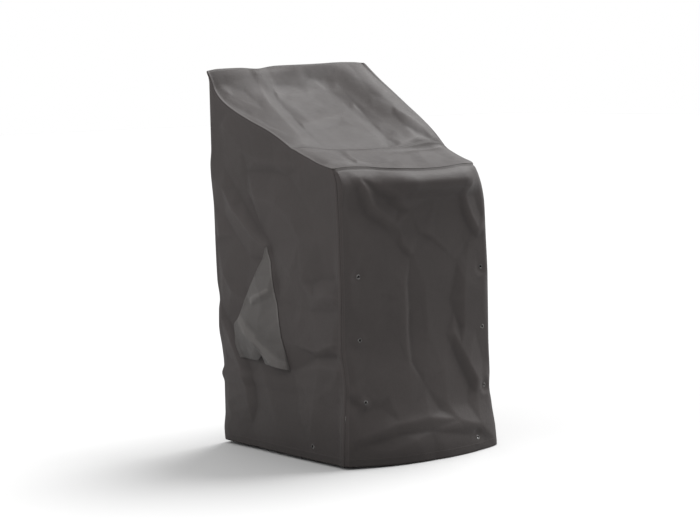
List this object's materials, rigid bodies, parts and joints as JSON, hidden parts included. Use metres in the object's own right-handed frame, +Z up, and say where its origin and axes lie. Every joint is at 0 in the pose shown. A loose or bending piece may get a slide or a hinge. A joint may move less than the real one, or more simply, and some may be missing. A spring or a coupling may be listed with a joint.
{
  "type": "stacking chair cover",
  "caption": "Fitted fabric cover for stacked garden chairs, with a slanted top, a sewn vent flap on one side and small metal eyelets.",
  "frame": {"origin": "centre of the bounding box's underside, on the floor under the hanging hem", "axes": "+Z up, -Y towards the low front, +X towards the cover's right as seen from the front, so that the vent flap is on the -X side"},
  "size_m": [0.7258, 0.7866, 1.3059],
  "materials": {
    "cover_cloth": "dark grey coated woven polyester, matt with a faint sheen",
    "flap_cloth": "the same coated cloth, a little lighter, as it faces the light",
    "eyelet_metal": "small dark two-piece metal eyelet"
  },
  "bodies": {
    "root": {"back_panel": "cover_cloth", "eyelet_1": "eyelet_metal", "eyelet_2": "eyelet_metal", "eyelet_3": "eyelet_metal", "eyelet_4": "eyelet_metal", "eyelet_5": "eyelet_metal", "eyelet_6": "eyelet_metal", "eyelet_7": "eyelet_metal", "eyelet_8": "eyelet_metal", "front_panel": "cover_cloth", "side_panel_left": "cover_cloth", "side_panel_right": "cover_cloth", "top_front_panel": "cover_cloth", "top_slope_panel": "cover_cloth", "vent_flap": "flap_cloth"}
  },
  "joints": []
}
